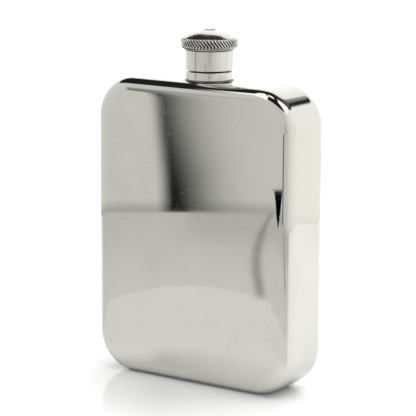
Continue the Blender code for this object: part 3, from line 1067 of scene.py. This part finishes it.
def soft_boxes(tree, azimuth, elevation):
    """Two soft boxes that hang in the dark above the surround, and a third overhead."""
    left_low = calc(tree, "MULTIPLY", calc(tree, "SUBTRACT", -55.0, azimuth), 0.7)
    left_low = calc(tree, "ADD", calc(tree, "MAXIMUM", left_low, 0.0), 34.0)
    left_box = fade(tree, calc(tree, "SUBTRACT", elevation, left_low), -1.0, 1.0)
    left_box = calc(tree, "MULTIPLY", left_box, fade(tree, elevation, 76.0, 78.0, 1.0, 0.0))
    left_box = calc(tree, "MULTIPLY", left_box, fade(tree, azimuth, -15.5, -12.5, 1.0, 0.0))
    left_edge = calc(tree, "MULTIPLY_ADD", elevation, -1.2, 0.9)
    past_edge = fade(tree, calc(tree, "SUBTRACT", azimuth, left_edge), -1.0, 1.0)
    left_box = calc(tree, "MULTIPLY", left_box, past_edge)
    right_box = between(tree, azimuth, 82.0, 146.0, 2.0)
    right_box = calc(tree, "MULTIPLY", right_box, between(tree, elevation, 38.0, 71.0, 1.0))
    overhead = fade(tree, elevation, 81.0, 83.0)
    boxes = calc(tree, "MAXIMUM", calc(tree, "MAXIMUM", left_box, right_box), overhead)
    return calc(tree, "MULTIPLY", boxes, SOFT_BOX_LEVEL)


def studio_world():
    """The surround above the wall, seen in the polish. The camera itself sees plain white."""
    world = bpy.data.worlds.new("studio")
    bpy.context.scene.world = world
    world.use_nodes = True
    tree = world.node_tree
    background = tree.nodes["Background"]
    azimuth, elevation = direction_angles(tree)
    tone = surround_tone(tree, azimuth)
    edge = calc(tree, "MULTIPLY", tone_curve(tree, round_share(tree, azimuth), SURROUND_TOP), 90.0)
    above = calc(tree, "SUBTRACT", elevation, edge)
    level = calc(tree, "MULTIPLY", tone, fade(tree, above, -1.5, 1.5, 1.0, 0.02))
    # The wall's dark gap goes on a little way above the wall, and dies out.
    past = calc(tree, "ADD", azimuth, 38.9)
    past_edge = calc(tree, "MAXIMUM", calc(tree, "SUBTRACT", past, 2.2), 0.0)
    gap = calc(tree, "EXPONENT", calc(tree, "MULTIPLY", past_edge, -0.4))
    gap = calc(tree, "MULTIPLY", calc(tree, "MULTIPLY", gap, fade(tree, past, -1.0, 0.8)), 0.6)
    gap = calc(tree, "MULTIPLY", gap, fade(tree, elevation, 5.0, 15.0, 1.0, 0.0))
    level = darken(tree, level, gap)
    # Behind on the right, the dark gives way to a grey patch that brightens towards the back.
    wrapped = calc(tree, "MULTIPLY_ADD", calc(tree, "LESS_THAN", azimuth, 0.0), 360.0, azimuth)
    patch = calc(tree, "MULTIPLY", between(tree, wrapped, 148.0, 196.0, 3.0), tone)
    patch = calc(tree, "MULTIPLY", patch, between(tree, elevation, 31.7, 48.0, 0.5))
    patch = calc(tree, "MULTIPLY", patch, fade(tree, wrapped, 167.0, 187.0, 0.10, 0.8))
    level = calc(tree, "MAXIMUM", level, patch)
    level = calc(tree, "MAXIMUM", level, soft_boxes(tree, azimuth, elevation))
    glimpse = tree.nodes.new("ShaderNodeLightPath").outputs["Is Camera Ray"]
    seen = calc(tree, "MAXIMUM", level, calc(tree, "MULTIPLY", glimpse, BACKDROP_LEVEL))
    link(tree, emit(tree, seen, (1.0, 1.0, 1.0)), background.inputs["Color"])
    background.inputs["Strength"].default_value = 1.0


def reflected_only(obj):
    """A card that shows in the polish and lights nothing else."""
    obj.visible_camera = False
    obj.visible_diffuse = False
    obj.visible_shadow = False
    obj.visible_transmission = False
    obj.visible_volume_scatter = False


def card_material(name):
    """A card's material and tree, with the place in millimetres, the azimuth and the reach."""
    material = bpy.data.materials.new(name)
    material.use_nodes = True
    tree = material.node_tree
    tree.nodes.remove(tree.nodes["Principled BSDF"])
    place = tree.nodes.new("ShaderNodeTexCoord").outputs["Object"]
    parts = tree.nodes.new("ShaderNodeSeparateXYZ")
    link(tree, place, parts.inputs[0])
    x, y, z = [calc(tree, "MULTIPLY", part, 1 / MM) for part in parts.outputs]
    azimuth = calc(tree, "ARCTAN2", x, calc(tree, "MULTIPLY", y, -1.0))
    azimuth = calc(tree, "MULTIPLY", azimuth, 180 / math.pi)
    squares = calc(tree, "ADD", calc(tree, "MULTIPLY", x, x), calc(tree, "MULTIPLY", y, y))
    return material, tree, (x, y, z), azimuth, calc(tree, "SQRT", squares)


def surround_wall():
    """The pale curved wall round the set, with its dark foot and a dark gap at the front left."""
    deselect_all()
    bpy.ops.mesh.primitive_cylinder_add(
        vertices=180,
        radius=SURROUND_RADIUS,
        depth=WALL_HEIGHT,
        end_fill_type="NOTHING",
        location=(0, 0, WALL_HEIGHT / 2),
    )
    obj = bpy.context.object
    obj.name = "surround_wall"
    settle(obj)
    edit(obj, "FACE")

    def open_behind(face):
        centre = face.calc_center_median()
        azimuth = math.degrees(math.atan2(centre.x, -centre.y))
        return azimuth > WALL_OPENING[0] or azimuth < WALL_OPENING[1]

    choose(obj, "FACE", open_behind)
    bpy.ops.mesh.delete(type="FACE")
    leave_edit()
    material, tree, (_, _, height), azimuth, _ = card_material("surround_wall")
    tone = surround_tone(tree, azimuth)
    # dark gap: a sharp left edge, and a slow return to the wall's tone on its right
    start = fade(tree, height, 0.0, 75.0, -36.4, -37.3)
    past = calc(tree, "SUBTRACT", azimuth, start)
    lean = fade(tree, height, 94.0, 103.0, 0.0, 2.6)
    rise = fade(tree, calc(tree, "ADD", past, lean), -0.8, 0.8)
    past_edge = calc(tree, "MAXIMUM", calc(tree, "SUBTRACT", past, 0.6), 0.0)
    past_edge = calc(tree, "DIVIDE", past_edge, fade(tree, height, 5.0, 60.0, 3.9, 3.0))
    past_edge = calc(tree, "POWER", past_edge, fade(tree, height, 5.0, 60.0, 1.9, 1.15))
    decay = calc(tree, "EXPONENT", calc(tree, "MULTIPLY", past_edge, -1.0))
    depth = fade(tree, height, 4.0, 50.0, 1.0, 0.93)
    depth = calc(tree, "MULTIPLY", depth, fade(tree, height, 88.0, 105.0, 1.0, 0.7))
    gap = calc(tree, "MULTIPLY", calc(tree, "MULTIPLY", rise, decay), depth)
    level = darken(tree, tone, gap)
    # a faint dark line along the foot on the left
    foot = fade(tree, height, 0.5, 8.5, 0.33, 0.0)
    foot = calc(tree, "MULTIPLY", foot, fade(tree, azimuth, -2.0, 16.0, 1.0, 0.2))
    level = darken(tree, level, foot)
    # a black opening that stands on its point, just left of the camera
    left_side = calc(tree, "MULTIPLY_ADD", azimuth, -2.3, -48.3)
    right_side = calc(tree, "MULTIPLY_ADD", azimuth, 1.03, 6.2)
    low = calc(tree, "MAXIMUM", left_side, right_side)
    top = calc(tree, "MULTIPLY_ADD", azimuth, 0.13, 16.2)
    wedge = fade(tree, calc(tree, "SUBTRACT", height, low), -0.8, 0.8)
    lid = fade(tree, calc(tree, "SUBTRACT", height, top), -1.2, 1.2, 1.0, 0.0)
    wedge = calc(tree, "MULTIPLY", wedge, lid)
    level = darken(tree, level, wedge)
    # the foot of a grey stand, a little left of the camera
    stand = calc(tree, "MULTIPLY", between(tree, azimuth, 11.0, 22.0, 2.0), 0.7)
    stand = calc(tree, "MULTIPLY", stand, fade(tree, height, 45.0, 65.0, 1.0, 0.0))
    level = darken(tree, level, stand)
    # two posts that only the neck sees, a wide one towards the camera and a narrow one on the right
    tall = fade(tree, height, 58.0, 62.0)
    near_post = calc(tree, "MULTIPLY", between(tree, azimuth, 27.0, 45.5, 0.9), 0.24)
    right_post = calc(tree, "MULTIPLY", between(tree, azimuth, 122.0, 125.5, 0.7), 0.3)
    posts = calc(tree, "MULTIPLY", calc(tree, "ADD", near_post, right_post), tall)
    level = darken(tree, level, posts)
    glow = tree.nodes.new("ShaderNodeEmission")
    link(tree, emit(tree, level), glow.inputs["Color"])
    link(tree, glow.outputs[0], tree.nodes["Material Output"].inputs["Surface"])
    obj.data.materials.append(material)
    reflected_only(obj)


def front_sheet():
    """The paper in front of the flask as the polish shows it: bright near by, greyer far off."""
    deselect_all()
    bpy.ops.mesh.primitive_circle_add(
        vertices=180, radius=SURROUND_RADIUS, fill_type="NGON", location=(0, 0, 0)
    )
    obj = bpy.context.object
    obj.name = "front_sheet"
    edit(obj)
    bpy.ops.mesh.select_all(action="SELECT")
    bpy.ops.transform.translate(value=(0, 0, SHEET_HEIGHT))
    bpy.ops.mesh.bisect(
        plane_co=(0, 0.06, 0), plane_no=(0.25, 1, 0), clear_outer=True, use_fill=False
    )
    leave_edit()
    material, tree, (x, y, _), azimuth, reach = card_material("front_sheet")
    # across and along the sheet, whose middle line runs forwards and to the left
    across = calc(tree, "MULTIPLY_ADD", y, -SHEET_SINE, calc(tree, "MULTIPLY", x, SHEET_COSINE))
    along = calc(tree, "MULTIPLY_ADD", y, -SHEET_COSINE, calc(tree, "MULTIPLY", x, -SHEET_SINE))
    far = fade(tree, reach, 130.0, 340.0, 0.86, 0.76)
    dim = calc(tree, "MULTIPLY", fade(tree, azimuth, -36.5, -33.0), fade(tree, reach, 230.0, 300.0))
    far = calc(tree, "MULTIPLY", far, calc(tree, "MULTIPLY_ADD", dim, -0.13, 1.0))
    # a lamp's pool of light on the near part of the sheet
    from_middle = calc(tree, "SUBTRACT", across, 7.0)
    limit = calc(tree, "MULTIPLY", calc(tree, "MULTIPLY", from_middle, from_middle), 0.025)
    limit = calc(tree, "SUBTRACT", 168.7, limit)
    pool = fade(tree, calc(tree, "SUBTRACT", along, limit), -4.0, 3.0, 1.0, 0.0)
    pool = calc(tree, "MULTIPLY", pool, fade(tree, across, 41.0, 45.0, 1.0, 0.0))
    beside = fade(tree, reach, 120.0, 134.0, 1.0, 0.0)
    beside = calc(tree, "MULTIPLY", beside, fade(tree, azimuth, -32.0, -24.0))
    pool = calc(tree, "MAXIMUM", pool, beside)
    level = calc(tree, "MULTIPLY_ADD", pool, calc(tree, "SUBTRACT", 0.97, far), far)
    # a soft curved shadow along the sheet's right side
    bend = calc(tree, "MAXIMUM", calc(tree, "SUBTRACT", along, 185.0), 0.0)
    bend = calc(tree, "MULTIPLY_ADD", calc(tree, "MULTIPLY", bend, bend), 0.00056, 38.3)
    off = calc(tree, "SUBTRACT", across, bend)
    off = calc(tree, "DIVIDE", off, fade(tree, along, 240.0, 350.0, 2.3, 0.8))
    line = calc(tree, "EXPONENT", calc(tree, "MULTIPLY", calc(tree, "MULTIPLY", off, off), -1.0))
    line = calc(tree, "MULTIPLY", line, fade(tree, along, 135.0, 160.0, 0.0, 0.48))
    level = darken(tree, level, line)
    # the point of the black opening runs a little way out over the sheet
    point = calc(tree, "MULTIPLY", calc(tree, "SUBTRACT", reach, 308.0), 0.25)
    aside = calc(tree, "ABSOLUTE", calc(tree, "ADD", azimuth, 14.0))
    point = fade(tree, calc(tree, "SUBTRACT", point, aside), -0.8, 0.8)
    level = darken(tree, level, point)
    # a second stand, on the sheet itself
    stand = calc(tree, "MULTIPLY", between(tree, x, 150.0, 172.0, 3.0), 0.6)
    stand = calc(tree, "MULTIPLY", stand, between(tree, y, -290.0, -130.0, 12.0))
    level = darken(tree, level, stand)
    glow = tree.nodes.new("ShaderNodeEmission")
    link(tree, emit(tree, level), glow.inputs["Color"])
    clear = tree.nodes.new("ShaderNodeBsdfTransparent")
    mix = tree.nodes.new("ShaderNodeMixShader")
    front = between(tree, azimuth, -75.0, 80.0, 12.0)
    front = calc(tree, "MULTIPLY", fade(tree, reach, 45.0, 80.0), front)
    link(tree, front, mix.inputs["Fac"])
    link(tree, clear.outputs[0], mix.inputs[1])
    link(tree, glow.outputs[0], mix.inputs[2])
    link(tree, mix.outputs[0], tree.nodes["Material Output"].inputs["Surface"])
    obj.data.materials.append(material)
    reflected_only(obj)


def floor():
    deselect_all()
    bpy.ops.mesh.primitive_circle_add(vertices=96, radius=6.0, fill_type="NGON", location=(0, 0, 0))
    obj = bpy.context.object
    obj.name = "floor"
    material = bpy.data.materials.new("pale_floor")
    material.use_nodes = True
    tree = material.node_tree
    shader = tree.nodes["Principled BSDF"]
    place = tree.nodes.new("ShaderNodeTexCoord").outputs["Object"]
    grain = noise(tree, place, 900.0, 3.0)
    tone = blend_colours(tree, grain, (0.90, 0.90, 0.90, 1), (0.93, 0.93, 0.93, 1))
    link(tree, tone, shader.inputs["Base Color"])
    shader.inputs["Roughness"].default_value = 0.12
    shader.inputs["Specular IOR Level"].default_value = 0.35
    obj.data.materials.append(material)


def lamp(name, place, aim, size, power):
    data = bpy.data.lights.new(name, "AREA")
    data.shape = "RECTANGLE"
    data.size, data.size_y = size
    data.energy = power
    obj = bpy.data.objects.new(name, data)
    bpy.context.scene.collection.objects.link(obj)
    obj.location = place
    obj.rotation_mode = "QUATERNION"
    obj.rotation_quaternion = (Vector(aim) - Vector(place)).to_track_quat("-Z", "Y")
    obj.visible_glossy = False
    return obj


def studio():
    studio_camera()
    studio_world()
    surround_wall()
    front_sheet()
    floor()
    lamp("overhead_light", (0.1, 0.3, 1.2), (0, 0, 0), (1.4, 1.4), 16.0)
    bpy.context.scene.view_settings.view_transform = "Standard"


body()
neck()
collar_solder()
hinge()
top_sleeve()
knob_and_rivet()
threaded_liner()
small_washers()
hidden_solder()
studio()
